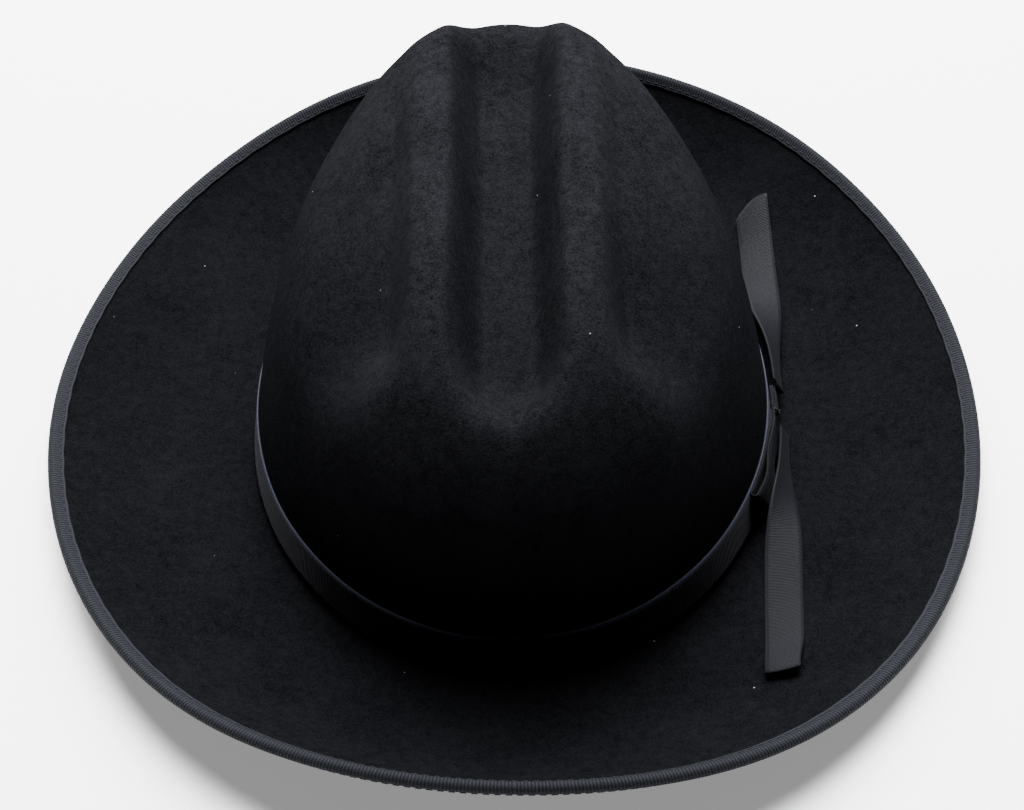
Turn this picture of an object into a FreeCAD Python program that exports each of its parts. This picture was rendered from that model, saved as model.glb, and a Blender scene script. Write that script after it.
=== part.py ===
import FreeCAD, Part
import math
import os

# Cattleman-creased cowboy hat of fur felt, with a ribbon-bound brim, a grosgrain hatband
# tied at the wearer's left, a leather sweatband on a reed and a satin lining.
# Millimetres. The origin lies under the middle of the head opening, on the surface that
# the hat stands on. +Z is up, the front is towards -Y and the bow is at +X.
# Directions round the hat are angles from the front (-Y) towards the bow (+X).

# Head opening, measured inside the leather.
head_half_width = 82.3
head_half_length = 101.5

# Felt.
felt_thick = 2.4
crown_height = 111.5        # above the brim, half way along the hat
crown_tilt = 0.12           # height gained per millimetre towards the back
side_lean = 0.19            # share of the half width that the crown loses by its top
front_lean = 0.09
back_lean = 0.05
side_fullness = 3.0         # roundness of the shoulder seen from the front
front_fullness = 4.4
back_fullness = 4.6
break_radius = 2.0          # inside corner between crown and brim

# Crease: one trough along the middle and a dent on each side.
trough_depth = 23.0
trough_half_width = 23.0
trough_front = -93.5
trough_front_run = 36.0
trough_front_point = 0.55   # how pointed the trough's front end is
trough_back = 100.0
trough_back_run = 48.0
trough_back_dip = 0.17      # share of the depth that runs out over the back rim
trough_floor_share = 0.24   # share of the half width that is floor, and that is wall
trough_wall_share = 0.6
dent_depth = 9.0
dent_front_depth = 13.0     # added at the pinch, near the front
dent_pinch_y = -40.0
dent_pinch_length = 30.0
dent_inner = 26.5
dent_inner_run = 10.0
dent_outer = 46.0
dent_outer_run = 30.0
dent_front = -82.0
dent_front_run = 40.0
dent_back = 100.0
dent_back_run = 90.0

# Brim: flat beside the crown, then rolled up towards its edge.
brim_width = 66.0
brim_flat = 6.0
brim_rise = 16.5            # mean slope of the brim in degrees
brim_rise_ends = 7.5        # more at front and back, less at the sides
brim_rise_quarters = 1.8
brim_rise_twist = -2.75     # a slight lean of the roll round the hat

# Ribbons.
ribbon_thick = 0.6
binding_cover = 3.0         # how far the edge ribbon laps onto each face
band_width = 15.5
bow_width = 12.0
bow_thick = 0.6
bow_angle = 90.0
knot_angle_shift = -5.0     # the thread ties the ribbon this far along the wall from bow_angle
knot_share = 0.4            # how far up the band the knot and the rear tail's root sit
neck_length = 11.0          # gathered ribbon behind the thread
neck_width = 3.6
neck_thick = 2.4
loop_length = 41.0
loop_width = 15.0
loop_thick = 1.2
loop_rise = 1.4             # the loop's far end sits this much above the knot
loop_slant = 4.5            # its upper edge runs on this much, its lower edge stops this short
front_tail_start = 9.0      # how far in front of the bow's middle a tail's root lies
front_tail_rise = 0.8       # how far over the band's lower edge the front tail's root sits
front_tail_length = 100.0
front_tail_cut = -1.0       # how much sooner a tail's inner edge ends than its outer one
rear_tail_start = 7.5
rear_tail_length = 95.0
rear_tail_cut = 8.0
tail_clearance = 0.35       # free air between a tail and what it lies on
front_tail_share = 0.55     # how much of its width a tail has at its root
rear_tail_share = 0.7
front_tail_roll = (60.0, 0.0)    # degrees that a tail leans, at its root and once settled
rear_tail_roll = (65.0, 0.0)
front_tail_line = (89.0, 81.2)   # how far out a tail's middle runs, at its root and its end
rear_tail_line = (88.4, 87.4)
front_tail_run = 56.0       # run over which a tail unrolls and comes down
rear_tail_run = 64.0

# Sweatband, reed and lining.
leather_thick = 0.9
sweatband_gap = 0.3         # the leather hangs this far off the felt
sweatband_height = 38.0
reed_size = 1.0
reed_lift = 0.3
lining_thick = 0.5
lining_gap = 0.5            # air between the lining and the leather's upper edge
lining_fullness = 1.6       # how much boxier the lining is than the crown
lining_drop = 13.0          # how far the lining hangs under the trough's floor
lining_seam = 0.36          # share of the way up the lining to its piped seam
piping_size = 1.2
piping_gap = 0.3            # the piping hangs this far off the dome
shield_thick = 0.4
shield_reach = 0.55         # how far the clear shield covers the tip of the lining
thread_size = 0.4
tab_half_width = 6.0
tab_thick = 0.7
tag_height = 14.0
tag_half_width = 16.0
tag_thick = 0.3

seat = 0.05                 # air left between pieces that lie on each other

columns = 84                # stations round the hat

inner_half_width = head_half_width + leather_thick + sweatband_gap
inner_half_length = head_half_length + leather_thick + sweatband_gap
outer_half_width = inner_half_width + felt_thick
outer_half_length = inner_half_length + felt_thick
brim_curl = brim_width - brim_flat
thread_row = brim_width - binding_cover + 1.0
band_bottom = felt_thick + break_radius + 0.4
band_top = band_bottom + band_width
knot_height = band_bottom + knot_share * band_width
front_tail_height = band_bottom + front_tail_rise
trough_floor = felt_thick + crown_height - trough_depth
lining_top = trough_floor - felt_thick - lining_drop
reed_top = reed_lift + reed_size
leather_bottom = reed_top + seat
leather_top = leather_bottom + sweatband_height
lining_bottom = leather_top + lining_gap
angles = [2.0 * math.pi * i / columns for i in range(columns)]


def smooth(start, run, value):
    # Rises from 0 at start to 1 at start + run, level at both ends.
    share = max(0.0, min(1.0, (value - start) / run))
    return share * share * share * (share * (6.0 * share - 15.0) + 10.0)


def outline(angle, out):
    # The felt's base oval, moved outwards along its own normal.
    across = math.sin(angle)
    ahead = math.cos(angle)
    nx = outer_half_length * across
    ny = -outer_half_width * ahead
    size = math.hypot(nx, ny)
    x = outer_half_width * across + out * nx / size
    y = -outer_half_length * ahead + out * ny / size
    return x, y


def brim_slope(angle):
    degrees = (brim_rise + brim_rise_ends * math.cos(2.0 * angle)
               + brim_rise_quarters * math.cos(4.0 * angle)
               + brim_rise_twist * math.sin(2.0 * angle))
    return math.radians(degrees)


def brim_section(angle, along, lift):
    # The brim's top is level for brim_flat and then an arc, and lift stands on it squarely.
    end_slope = 2.0 * brim_slope(angle) * brim_width / brim_curl
    radius = brim_curl / end_slope
    turned = max(0.0, along - brim_flat) / radius
    out = min(along, brim_flat) + radius * math.sin(turned) - lift * math.sin(turned)
    up = felt_thick + radius * (1.0 - math.cos(turned)) + lift * math.cos(turned)
    return out, up


def brim_point(angle, along, lift):
    out, up = brim_section(angle, along, lift)
    x, y = outline(angle, out)
    return FreeCAD.Vector(x, y, up)


def fullness(angle):
    across = math.sin(angle) ** 2
    along = math.cos(angle) ** 2
    end = front_fullness if math.cos(angle) > 0.0 else back_fullness
    return side_fullness * across + end * along


def end_lean(angle):
    return front_lean if math.cos(angle) > 0.0 else back_lean


def roof(x, y, share, inset):
    # How far the crease pushes the crown down at a point of it.
    side = abs(x)
    grown = 0.8 * inset
    half = trough_half_width + 3.0 * (y / 80.0) ** 2 + grown
    ends = smooth(trough_front - grown + trough_front_point * side, trough_front_run, y)
    closing = smooth(trough_back - trough_back_run + grown, trough_back_run, y)
    ends *= 1.0 - (1.0 - trough_back_dip) * closing
    wall = smooth(trough_floor_share * half, trough_wall_share * half, side)
    trough = trough_depth * ends * (1.0 - wall)
    depth = dent_depth + dent_front_depth * math.exp(-((y - dent_pinch_y) / dent_pinch_length) ** 2)
    window = smooth(dent_front - grown + 0.4 * abs(side - 48.0), dent_front_run, y)
    window *= 1.0 - smooth(dent_back - dent_back_run, dent_back_run, y)
    window *= smooth(dent_inner - grown, dent_inner_run, side)
    window *= 1.0 - smooth(dent_outer + grown, dent_outer_run, side)
    return (trough + depth * window) * share * share


def crown_point(angle, turn, inset):
    # turn runs from 0 at the crown's foot to 1 at its middle, inset is depth into the felt.
    foot = break_radius / crown_height
    steep = foot + (0.5 * math.pi - foot) * turn
    full = fullness(angle)
    size = (math.cos(steep) ** full + math.sin(steep) ** full) ** (-1.0 / full)
    reach = size * math.cos(steep)
    share = size * math.sin(steep)
    x = (outer_half_width - inset) * reach * (1.0 - side_lean * share) * math.sin(angle)
    y = -(outer_half_length - inset) * reach * (1.0 - end_lean(angle) * share) * math.cos(angle)
    height = crown_height + crown_tilt * y - inset
    z = felt_thick + height * share - roof(x, y, share, inset)
    return FreeCAD.Vector(x, y, z)


def wall_point(angle, z, out):
    # A point at height z, out beyond the crown's plain outer wall.
    height = crown_height - crown_tilt * outer_half_length * math.cos(angle)
    share = (z - felt_thick) / height
    full = fullness(angle)
    reach = (1.0 - max(0.0, share) ** full) ** (1.0 / full)
    across = reach * (1.0 - side_lean * share)
    along = reach * (1.0 - end_lean(angle) * share)
    x, y = outline(angle, 0.0)
    fx, fy = outline(angle, out)
    return FreeCAD.Vector(x * across + fx - x, y * along + fy - y, z)


def lining_point(angle, turn, inset):
    # The lining is a plain dome inside the crown's walls that hangs clear of the crease.
    full = fullness(angle) + lining_fullness
    foot = math.atan2(lining_bottom / lining_top, (1.0 - (lining_bottom / lining_top) ** full) ** (1.0 / full))
    steep = foot + (0.5 * math.pi - foot) * turn
    size = (math.cos(steep) ** full + math.sin(steep) ** full) ** (-1.0 / full)
    reach = size * math.cos(steep)
    z = lining_top * size * math.sin(steep)
    wall = wall_point(angle, z, -felt_thick - sweatband_gap - inset)
    return FreeCAD.Vector(wall.x * reach, wall.y * reach, z - inset * (1.0 - reach))


def basis(knots, index, degree, at):
    if degree == 0:
        return 1.0 if knots[index] <= at < knots[index + 1] else 0.0
    total = 0.0
    left = knots[index + degree] - knots[index]
    if left > 0.0:
        total += (at - knots[index]) / left * basis(knots, index, degree - 1, at)
    right = knots[index + degree + 1] - knots[index + 1]
    if right > 0.0:
        total += (knots[index + degree + 1] - at) / right * basis(knots, index + 1, degree - 1, at)
    return total


def weights(count, degree):
    # How much each pole of an open curve counts at each of its stations.
    spans = count - degree
    knots = [0.0] * degree + [float(i) for i in range(spans + 1)] + [float(spans)] * degree
    table = []
    for i in range(count):
        at = sum(knots[i + 1:i + 1 + degree]) / degree
        if i == count - 1:
            row = {i: 1.0}
        else:
            row = {j: basis(knots, j, degree, at) for j in range(max(0, i - 3), min(count, i + 4))}
        table.append({j: w for j, w in row.items() if w > 0.0})
    return table


def poles_open(points, degree):
    # Poles of an open curve that passes through every point.
    table = weights(len(points), degree)
    poles = list(points)
    for _ in range(30):
        poles = [pole + point - sum_of(poles, row) for pole, point, row in zip(poles, points, table)]
    return poles


def sum_of(poles, row):
    total = FreeCAD.Vector(0.0, 0.0, 0.0)
    for j, share in row.items():
        total = total + poles[j] * share
    return total


def poles_round(points):
    # Poles of a closed curve that passes through every point.
    poles = list(points)
    count = len(points)
    for _ in range(30):
        poles = [poles[i] + points[i] - (poles[i - 1] + poles[i] * 4.0 + poles[(i + 1) % count]) * (1.0 / 6.0)
                 for i in range(count)]
    return poles


def face_through(rows, closed):
    # One smooth face through a grid of points, closed round the hat or open at both ends.
    across = min(3, len(rows) - 1)
    along = 3 if closed else min(3, len(rows[0]) - 1)
    grid = [poles_round(row) if closed else poles_open(row, along) for row in rows]
    lines = [poles_open(list(line), across) for line in zip(*grid)]
    poles = [list(row) for row in zip(*lines)]
    spans = len(rows) - across
    row_knots = [float(i) for i in range(spans + 1)]
    row_mults = [across + 1] + [1] * (spans - 1) + [across + 1]
    if closed:
        knots = [float(i) for i in range(len(rows[0]) + 1)]
        mults = [1] * len(knots)
    else:
        steps = len(rows[0]) - along
        knots = [float(i) for i in range(steps + 1)]
        mults = [along + 1] + [1] * (steps - 1) + [along + 1]
    surface = Part.BSplineSurface()
    surface.buildFromPolesMultsKnots(poles, row_mults, mults, row_knots, knots, False, closed, across, along)
    return surface.toShape()


def solid_of(faces):
    shell = Part.Shell(faces)
    shell.sewShape()
    if shell.ShapeType != "Shell":
        shell = shell.Shells[0]
    solid = Part.Solid(shell)
    if solid.Volume < 0.0:
        solid.reverse()
    if not solid.isValid():
        solid.fix(1e-4, 1e-4, 1e-3)
    return solid


def ring(patches):
    # A piece that goes all the way round: each patch starts where the last one ends.
    return solid_of([face_through(rows, True) for rows in patches])


def hoop(outer, inner):
    return ring([outer, [outer[-1], inner[-1]], inner[::-1], [inner[0], outer[0]]])


def cap(outer, inner):
    # A domed sheet: both grids start at the middle and end at the rim.
    return ring([outer, [outer[-1], inner[-1]], inner[::-1]])


def strip(outer, inner):
    # A length of ribbon or leather: rows run along it, and it has two ends.
    first = [[a, b] for a, b in zip([row[0] for row in outer], [row[0] for row in inner])]
    last = [[a, b] for a, b in zip([row[-1] for row in outer], [row[-1] for row in inner])]
    faces = [face_through(outer, False), face_through(inner, False)]
    faces.append(face_through([outer[0], inner[0]], False))
    faces.append(face_through([outer[-1], inner[-1]], False))
    faces.append(face_through([[pair[0] for pair in first], [pair[1] for pair in first]], False))
    faces.append(face_through([[pair[0] for pair in last], [pair[1] for pair in last]], False))
    return solid_of(faces)


def turns(count):
    return [i / (count - 1.0) for i in range(count)]


def wall_hoop(low, high, near, far, count):
    # A band round the crown's wall between two heights and two distances from the felt.
    heights = [low + (high - low) * t for t in turns(count)]
    outer = [[wall_point(a, z, far) for a in angles] for z in heights]
    inner = [[wall_point(a, z, near) for a in angles] for z in heights]
    return hoop(outer, inner)


def oval_hoop(low, high, near, far):
    # An upright band on the base oval, used inside the head opening.
    outer = []
    inner = []
    for z in (low, high):
        outer.append([FreeCAD.Vector(*outline(a, far), z) for a in angles])
        inner.append([FreeCAD.Vector(*outline(a, near), z) for a in angles])
    return hoop(outer, inner)


def wall_strip(first, last, low, high, near, far, count):
    # A short upright strip on the crown's wall, from one angle to another.
    steps = [first + (last - first) * t for t in turns(count)]
    heights = [low + (high - low) * t for t in turns(5)]
    outer = [[wall_point(a, z, far) for a in steps] for z in heights]
    inner = [[wall_point(a, z, near) for a in steps] for z in heights]
    return strip(outer, inner)


def felt_body():
    # Outside from the middle of the crown to the edge, round the edge, and back underneath.
    foot_out = []
    foot_in = []
    for i in range(5):
        turned = math.radians(90.0 * i / 4.0)
        out = break_radius * (1.0 - math.cos(turned))
        up = felt_thick + break_radius * (1.0 - math.sin(turned))
        foot_out.append((out, up))
        whole = break_radius + felt_thick
        foot_in.append((break_radius - whole * math.cos(turned), whole * (1.0 - math.sin(turned))))
    crown_out = [[crown_point(a, 1.0 - t, 0.0) for a in angles] for t in turns(34)]
    crown_in = [[crown_point(a, t, felt_thick) for a in angles] for t in turns(34)]
    corner_out = [[FreeCAD.Vector(*outline(a, out), up) for a in angles] for out, up in foot_out]
    corner_in = [[FreeCAD.Vector(*outline(a, out), up) for a in angles] for out, up in foot_in]
    corner_out[0] = crown_out[-1]
    corner_in[0] = crown_in[0]
    reach = [break_radius + (brim_width - break_radius) * t for t in turns(12)]
    top = [[brim_point(a, u, 0.0) for a in angles] for u in reach]
    under = [[brim_point(a, u, -felt_thick) for a in angles] for u in reach]
    corner_out[-1] = top[0]
    corner_in[-1] = under[0]
    edge = [[edge_point(a, turned, 0.0) for a in angles] for turned in turns(7)]
    edge[0] = top[-1]
    edge[-1] = under[-1]
    return ring([crown_out, corner_out, top, edge, under[::-1], corner_in[::-1], crown_in])


def edge_point(angle, turned, lift):
    # The brim's edge is half round, lift stands off it.
    half = 0.5 * felt_thick
    bend = math.pi * turned
    size = half + lift
    return brim_point(angle, brim_width + size * math.sin(bend), size * math.cos(bend) - half)


def binding(near, far):
    # A ribbon folded over the edge: top lap, round nose, under lap.
    laps = [brim_width - binding_cover * (1.0 - t) for t in turns(5)]

    def layer(lift):
        rows = [[brim_point(a, u, lift) for a in angles] for u in laps]
        rows += [[edge_point(a, t, lift) for a in angles] for t in turns(9)[1:-1]]
        rows += [[brim_point(a, u, -felt_thick - lift) for a in angles] for u in laps[::-1]]
        return rows

    return hoop(layer(far), layer(near))


def brim_thread(above):
    # One line of thread along the binding's inner margin.
    low = seat + ribbon_thick + seat
    high = low + 0.5 * thread_size
    if not above:
        low = -felt_thick - low
        high = -felt_thick - high
    span = (thread_row, thread_row + thread_size)
    outer = [[brim_point(a, u, high) for a in angles] for u in span]
    inner = [[brim_point(a, u, low) for a in angles] for u in span]
    return hoop(outer, inner)


# The bow: one loop and two tails leave a neck of gathered ribbon, tied with thread.
band_face = seat + ribbon_thick
bow_theta = math.radians(bow_angle)
knot_theta = bow_theta + knot_angle_shift / outer_half_length


def neck():
    # The gathered ribbon runs back along the band from the thread.
    near = band_face + seat
    start = knot_theta + seat / outer_half_length
    return wall_strip(start, start + neck_length / outer_half_length, knot_height - 0.5 * neck_width,
                      knot_height + 0.5 * neck_width, near, near + neck_thick, 7)


def tie_thread():
    # Two turns of thread round the neck, seen as one short upright bar on it.
    near = band_face + neck_thick + 2.0 * seat
    start = knot_theta + 0.3 / outer_half_length
    return wall_strip(start, start + 2.0 * thread_size / outer_half_length, knot_height - 0.5 * neck_width,
                      knot_height + 0.5 * neck_width, near, near + thread_size, 5)


def loop():
    # A loop of ribbon pressed flat on the band, widening as it runs forwards from the thread.
    start = knot_theta - seat / outer_half_length
    near = band_face + seat
    outer = []
    inner = []
    for edge in (0.0, 0.25, 0.5, 0.75, 1.0):
        row_out = []
        row_in = []
        for t in turns(13):
            run = loop_length + loop_slant * (2.0 * edge - 1.0)
            angle = start - run / outer_half_length * t
            share = smooth(0.0, 0.45, t)
            half = 0.5 * (neck_width + (loop_width - neck_width) * share)
            z = knot_height + loop_rise * share + half * (2.0 * edge - 1.0)
            row_out.append(wall_point(angle, z, near + loop_thick))
            row_in.append(wall_point(angle, z, near))
        outer.append(row_out)
        inner.append(row_in)
    return strip(outer, inner)


def tail(sign, start, height, length, cut, root_share, rolls, line, unroll, stand):
    # A tail leaves the knot leaning on the crown, unrolls and lies along the brim.
    # sign is -1 for the front tail and 1 for the rear one.
    rows_out = []
    rows_in = []
    for across in (-1.0, -0.5, 0.0, 0.5, 1.0):
        row_out = []
        row_in = []
        for t in turns(21):
            run = (length - 0.5 * cut * (1.0 - across)) * t
            settle = smooth(0.0, unroll, run)
            y = sign * (start + run)
            half = 0.5 * bow_width * (root_share + (1.0 - root_share) * settle)
            roll = math.radians(rolls[0] + (rolls[1] - rolls[0]) * settle)
            wall = outer_half_width * math.sqrt(max(0.0, 1.0 - (y / outer_half_length) ** 2))
            straight = line[0] + (line[1] - line[0]) * t
            x = max(straight, wall + stand + half * math.cos(roll))
            lean = math.atan((brim_height(x + 3.0, y) - brim_height(x - 3.0, y)) / 6.0) * settle - roll
            lying = brim_height(x + half * math.cos(lean), y) - half * math.sin(lean) + tail_clearance
            middle = FreeCAD.Vector(x, y, height * (1.0 - settle) + lying * settle)
            side = FreeCAD.Vector(math.cos(lean), 0.0, math.sin(lean))
            up = FreeCAD.Vector(-math.sin(lean), 0.0, math.cos(lean))
            if t == 0.0 and across == 0.0:
                print("tail root", sign, "x %.2f y %.2f z %.2f" % (x, y, height), "roll", rolls[0])
            row_in.append(middle + side * (half * across))
            row_out.append(middle + side * (half * across) + up * bow_thick)
        rows_out.append(row_out)
        rows_in.append(row_in)
    return strip(rows_out, rows_in)


def brim_height(x, y):
    # Height of the brim's top surface at a point beside the crown.
    angle = math.atan2(x / outer_half_width, -y / outer_half_length)
    out = 0.0
    for _ in range(12):
        foot_x, foot_y = outline(angle, 0.0)
        tx = outer_half_width * math.cos(angle)
        ty = outer_half_length * math.sin(angle)
        size = math.hypot(tx, ty)
        angle += ((x - foot_x) * tx + (y - foot_y) * ty) / (size * (size + max(0.0, out)))
        out = math.hypot(x - foot_x, y - foot_y)
    end_slope = 2.0 * brim_slope(angle) * brim_width / brim_curl
    radius = brim_curl / end_slope
    turned = math.asin(max(0.0, out - brim_flat) / radius)
    return felt_thick + radius * (1.0 - math.cos(turned))


def tacks():
    # Four short bars of thread that hold the band's upper edge to the felt.
    bars = []
    for degrees in (35.0, 145.0, 215.0, 325.0):
        angle = math.radians(degrees)
        reach = thread_size / outer_half_length
        bars.append(wall_strip(angle - reach, angle + reach, band_top - 1.8, band_top - 0.4,
                               band_face + seat, band_face + seat + 0.3, 5))
    return Part.makeCompound(bars)


def lining_sheet(first, last, inset, thick, count):
    rows = [first + (last - first) * t for t in turns(count)]
    outer = [[lining_point(a, t, inset) for a in angles] for t in rows]
    inner = [[lining_point(a, t, inset + thick) for a in angles] for t in rows]
    return outer, inner


def piping():
    # A round cord on the seam between the lining's side and its tip.
    outer = []
    inner = []
    for side in (-1.0, 1.0):
        turn = lining_seam + side * 0.5 * piping_size / lining_top
        outer.append([lining_point(a, turn, lining_thick + piping_gap) for a in angles])
        inner.append([lining_point(a, turn, lining_thick + piping_gap + piping_size) for a in angles])
    return hoop(outer, inner)


back = math.pi
leather_near = -felt_thick - sweatband_gap
leather_far = leather_near - leather_thick
leather_face = leather_far - seat
tab_reach = tab_half_width / outer_half_width
tag_reach = tag_half_width / outer_half_length
tag_angle = math.radians(150.0)
reed_outer = leather_near + seat + reed_size

pieces = {}
pieces["felt_body"] = felt_body()
pieces["brim_binding"] = binding(seat, seat + ribbon_thick)
pieces["binding_top_thread"] = brim_thread(True)
pieces["binding_under_thread"] = brim_thread(False)
pieces["hatband_ribbon"] = wall_hoop(band_bottom, band_top, seat, seat + ribbon_thick, 5)
pieces["hatband_tacks"] = tacks()
pieces["bow_neck"] = neck()
pieces["bow_tie_thread"] = tie_thread()
pieces["bow_loop"] = loop()
pieces["bow_front_tail"] = tail(-1, front_tail_start, front_tail_height, front_tail_length, front_tail_cut,
                                front_tail_share, front_tail_roll, front_tail_line, front_tail_run,
                                band_face + loop_thick + seat + tail_clearance)
pieces["bow_rear_tail"] = tail(1, rear_tail_start, knot_height, rear_tail_length, rear_tail_cut,
                               rear_tail_share, rear_tail_roll, rear_tail_line, rear_tail_run,
                               band_face + tail_clearance)
pieces["sweatband"] = wall_hoop(leather_bottom, leather_top, leather_far, leather_near, 8)
pieces["sweatband_reed"] = oval_hoop(reed_lift, reed_top, leather_near + seat, reed_outer)
pieces["reed_tape"] = oval_hoop(reed_lift, reed_top, leather_far, leather_near)
pieces["sweatband_thread"] = wall_hoop(leather_bottom + 2.0, leather_bottom + 2.0 + thread_size,
                                       leather_face - 0.3, leather_face, 2)
pieces["sweatband_seam_tab"] = wall_strip(back - tab_reach, back + tab_reach, leather_bottom + 4.0,
                                          leather_top - 1.0, leather_face - tab_thick, leather_face, 7)
pieces["size_tag"] = wall_strip(tag_angle - tag_reach, tag_angle + tag_reach, leather_bottom + 12.0,
                                leather_bottom + 12.0 + tag_height,
                                leather_face - tag_thick, leather_face, 7)
pieces["lining_side"] = hoop(*lining_sheet(0.0, lining_seam - 0.001, 0.0, lining_thick, 12))
pieces["lining_tip"] = cap(*lining_sheet(1.0, lining_seam + 0.001, 0.0, lining_thick, 10))
pieces["lining_piping"] = piping()
pieces["tip_shield"] = cap(*lining_sheet(1.0, 1.0 - (1.0 - lining_seam) * shield_reach,
                                         lining_thick + seat, shield_thick, 6))

os.makedirs("parts", exist_ok=True)
for name, shape in pieces.items():
    shape.exportStep("parts/" + name + ".step")
    box = shape.BoundBox
    print(name, "valid", shape.isValid(), "volume %.0f" % shape.Volume,
          "x %.1f %.1f y %.1f %.1f z %.1f %.1f" % (box.XMin, box.XMax, box.YMin, box.YMax, box.ZMin, box.ZMax))
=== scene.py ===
import bpy
import math
import numpy as np
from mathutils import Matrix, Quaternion, Vector


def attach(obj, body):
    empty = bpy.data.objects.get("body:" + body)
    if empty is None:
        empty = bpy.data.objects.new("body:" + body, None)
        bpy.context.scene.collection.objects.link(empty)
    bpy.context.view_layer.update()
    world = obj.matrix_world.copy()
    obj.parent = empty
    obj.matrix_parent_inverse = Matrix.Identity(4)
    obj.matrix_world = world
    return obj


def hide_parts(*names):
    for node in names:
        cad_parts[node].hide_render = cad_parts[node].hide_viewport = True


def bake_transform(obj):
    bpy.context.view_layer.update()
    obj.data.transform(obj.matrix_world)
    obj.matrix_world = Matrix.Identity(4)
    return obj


# Black fur-felt hat with a cattleman crease: felt, edge binding, hatband, side bow,
# leather sweatband and satin lining. Metres, +Z up, front towards -Y, bow at +X.
# Directions round the hat are angles from the front towards the bow.

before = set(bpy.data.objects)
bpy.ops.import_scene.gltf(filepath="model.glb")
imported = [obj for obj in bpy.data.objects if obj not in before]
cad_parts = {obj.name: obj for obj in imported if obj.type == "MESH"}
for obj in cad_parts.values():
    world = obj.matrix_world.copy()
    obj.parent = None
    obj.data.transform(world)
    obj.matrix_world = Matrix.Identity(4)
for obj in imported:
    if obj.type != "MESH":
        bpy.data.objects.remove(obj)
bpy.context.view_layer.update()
print("frame loaded:", len(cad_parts), "nodes")

mm = 0.001

felt = {
    "thick": 2.4 * mm,
    "halfWidth": 85.9 * mm,       # outside of the crown's foot
    "halfLength": 105.1 * mm,
    "height": 111.5 * mm,
    "tilt": 0.12,                 # rise of the crown's top per metre towards the back
    "sideLean": 0.19,             # share by which each wall leans in at the top
    "frontLean": 0.09,
    "backLean": 0.05,
    "sideFullness": 3.0,          # exponents of the rounded-box section
    "frontFullness": 4.4,
    "backFullness": 4.6,
    "footRadius": 2.0 * mm,
}

crease = {
    "depth": 23.0 * mm,
    "halfWidth": 23.0 * mm,
    "front": -93.5 * mm,
    "frontRun": 36.0 * mm,
    "frontPoint": 0.55,           # how pointed the trough's front end is
    "back": 100.0 * mm,
    "backRun": 48.0 * mm,
    "backDip": 0.17,              # share of the depth that runs out over the back rim
    "floor": 0.24,                # share of the half width that is floor
    "wall": 0.6,                  # share that is wall
    "dentDepth": 9.0 * mm,
    "pinchDepth": 13.0 * mm,
    "pinchY": -40.0 * mm,
    "pinchLength": 30.0 * mm,
    "dentInner": 26.5 * mm,       # each edge of a dent starts here and takes its run to finish
    "dentInnerRun": 10.0 * mm,
    "dentOuter": 46.0 * mm,
    "dentOuterRun": 30.0 * mm,
    "dentFront": -82.0 * mm,
    "dentFrontRun": 40.0 * mm,
    "dentBack": 100.0 * mm,
    "dentBackRun": 90.0 * mm,
}

brim = {
    "width": 66.0 * mm,
    "flat": 6.0 * mm,
    "rise": 16.5,                 # mean slope in degrees
    "riseEnds": 7.5,              # more slope at front and back than at the sides
    "riseQuarters": 1.8,
    "riseTwist": -2.75,
    "waver": 0.35 * mm,           # uneven hand of the edge
}

ribbon = {
    "thick": 0.6 * mm,
    "seat": 0.05 * mm,
    "bindingCover": 3.0 * mm,
    "bandWidth": 15.5 * mm,
    "ribPitch": 0.75 * mm,
}

bandLow = felt["thick"] + felt["footRadius"] + 0.4 * mm
bandHigh = bandLow + ribbon["bandWidth"]
bandFace = ribbon["seat"] + ribbon["thick"]


def smooth(start, run, value):
    # 0 before start, 1 after start + run, and a level-ended quintic between
    t = np.clip((value - start) / run, 0.0, 1.0)
    return t * t * t * (t * (6.0 * t - 15.0) + 10.0)


def outline(angle, out):
    # ellipse of the crown's foot, each point moved along the ellipse's normal by out
    sine, cosine = np.sin(angle), np.cos(angle)
    nx, ny = felt["halfLength"] * sine, -felt["halfWidth"] * cosine
    size = np.hypot(nx, ny)
    return felt["halfWidth"] * sine + out * nx / size, -felt["halfLength"] * cosine + out * ny / size


def brimRadius(angle):
    # radius of the brim's arc, from a mean slope that is a sum of waves round the hat; the arc's
    # end slope is about twice that mean
    slope = np.radians(brim["rise"] + brim["riseEnds"] * np.cos(2 * angle)
                       + brim["riseQuarters"] * np.cos(4 * angle) + brim["riseTwist"] * np.sin(2 * angle))
    curl = brim["width"] - brim["flat"]
    return curl / (2.0 * slope * brim["width"] / curl)


def brimGrid(angle, along, lift):
    # level strip, then a circular arc; lift stands square on it, and a small sum of sines
    # makes the edge waver
    radius = brimRadius(angle)
    turned = np.maximum(along - brim["flat"], 0.0) / radius
    out = np.minimum(along, brim["flat"]) + (radius - lift) * np.sin(turned)
    waver = np.sin(3 * angle + 0.7) + 0.7 * np.sin(5 * angle + 2.1) + 0.4 * np.sin(11 * angle)
    up = felt["thick"] + radius * (1 - np.cos(turned)) + lift * np.cos(turned)
    up = up + brim["waver"] * waver * np.clip(along / brim["width"], 0, 1.1) ** 2
    x, y = outline(angle, out)
    return np.stack(np.broadcast_arrays(x, y, up), -1)


def edgeGrid(angle, turn, lift):
    # half circle round the brim's edge, from its top face to its under face
    half = 0.5 * felt["thick"]
    bend = math.pi * turn
    return brimGrid(angle, brim["width"] + (half + lift) * np.sin(bend), (half + lift) * np.cos(bend) - half)


def fullness(angle):
    # exponent of the crown's rounded-box section, blended from side to front or back
    end = np.where(np.cos(angle) > 0, felt["frontFullness"], felt["backFullness"])
    return felt["sideFullness"] * np.sin(angle) ** 2 + end * np.cos(angle) ** 2


def endLean(angle):
    # how far the crown leans in at the front or the back
    return np.where(np.cos(angle) > 0, felt["frontLean"], felt["backLean"])


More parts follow.
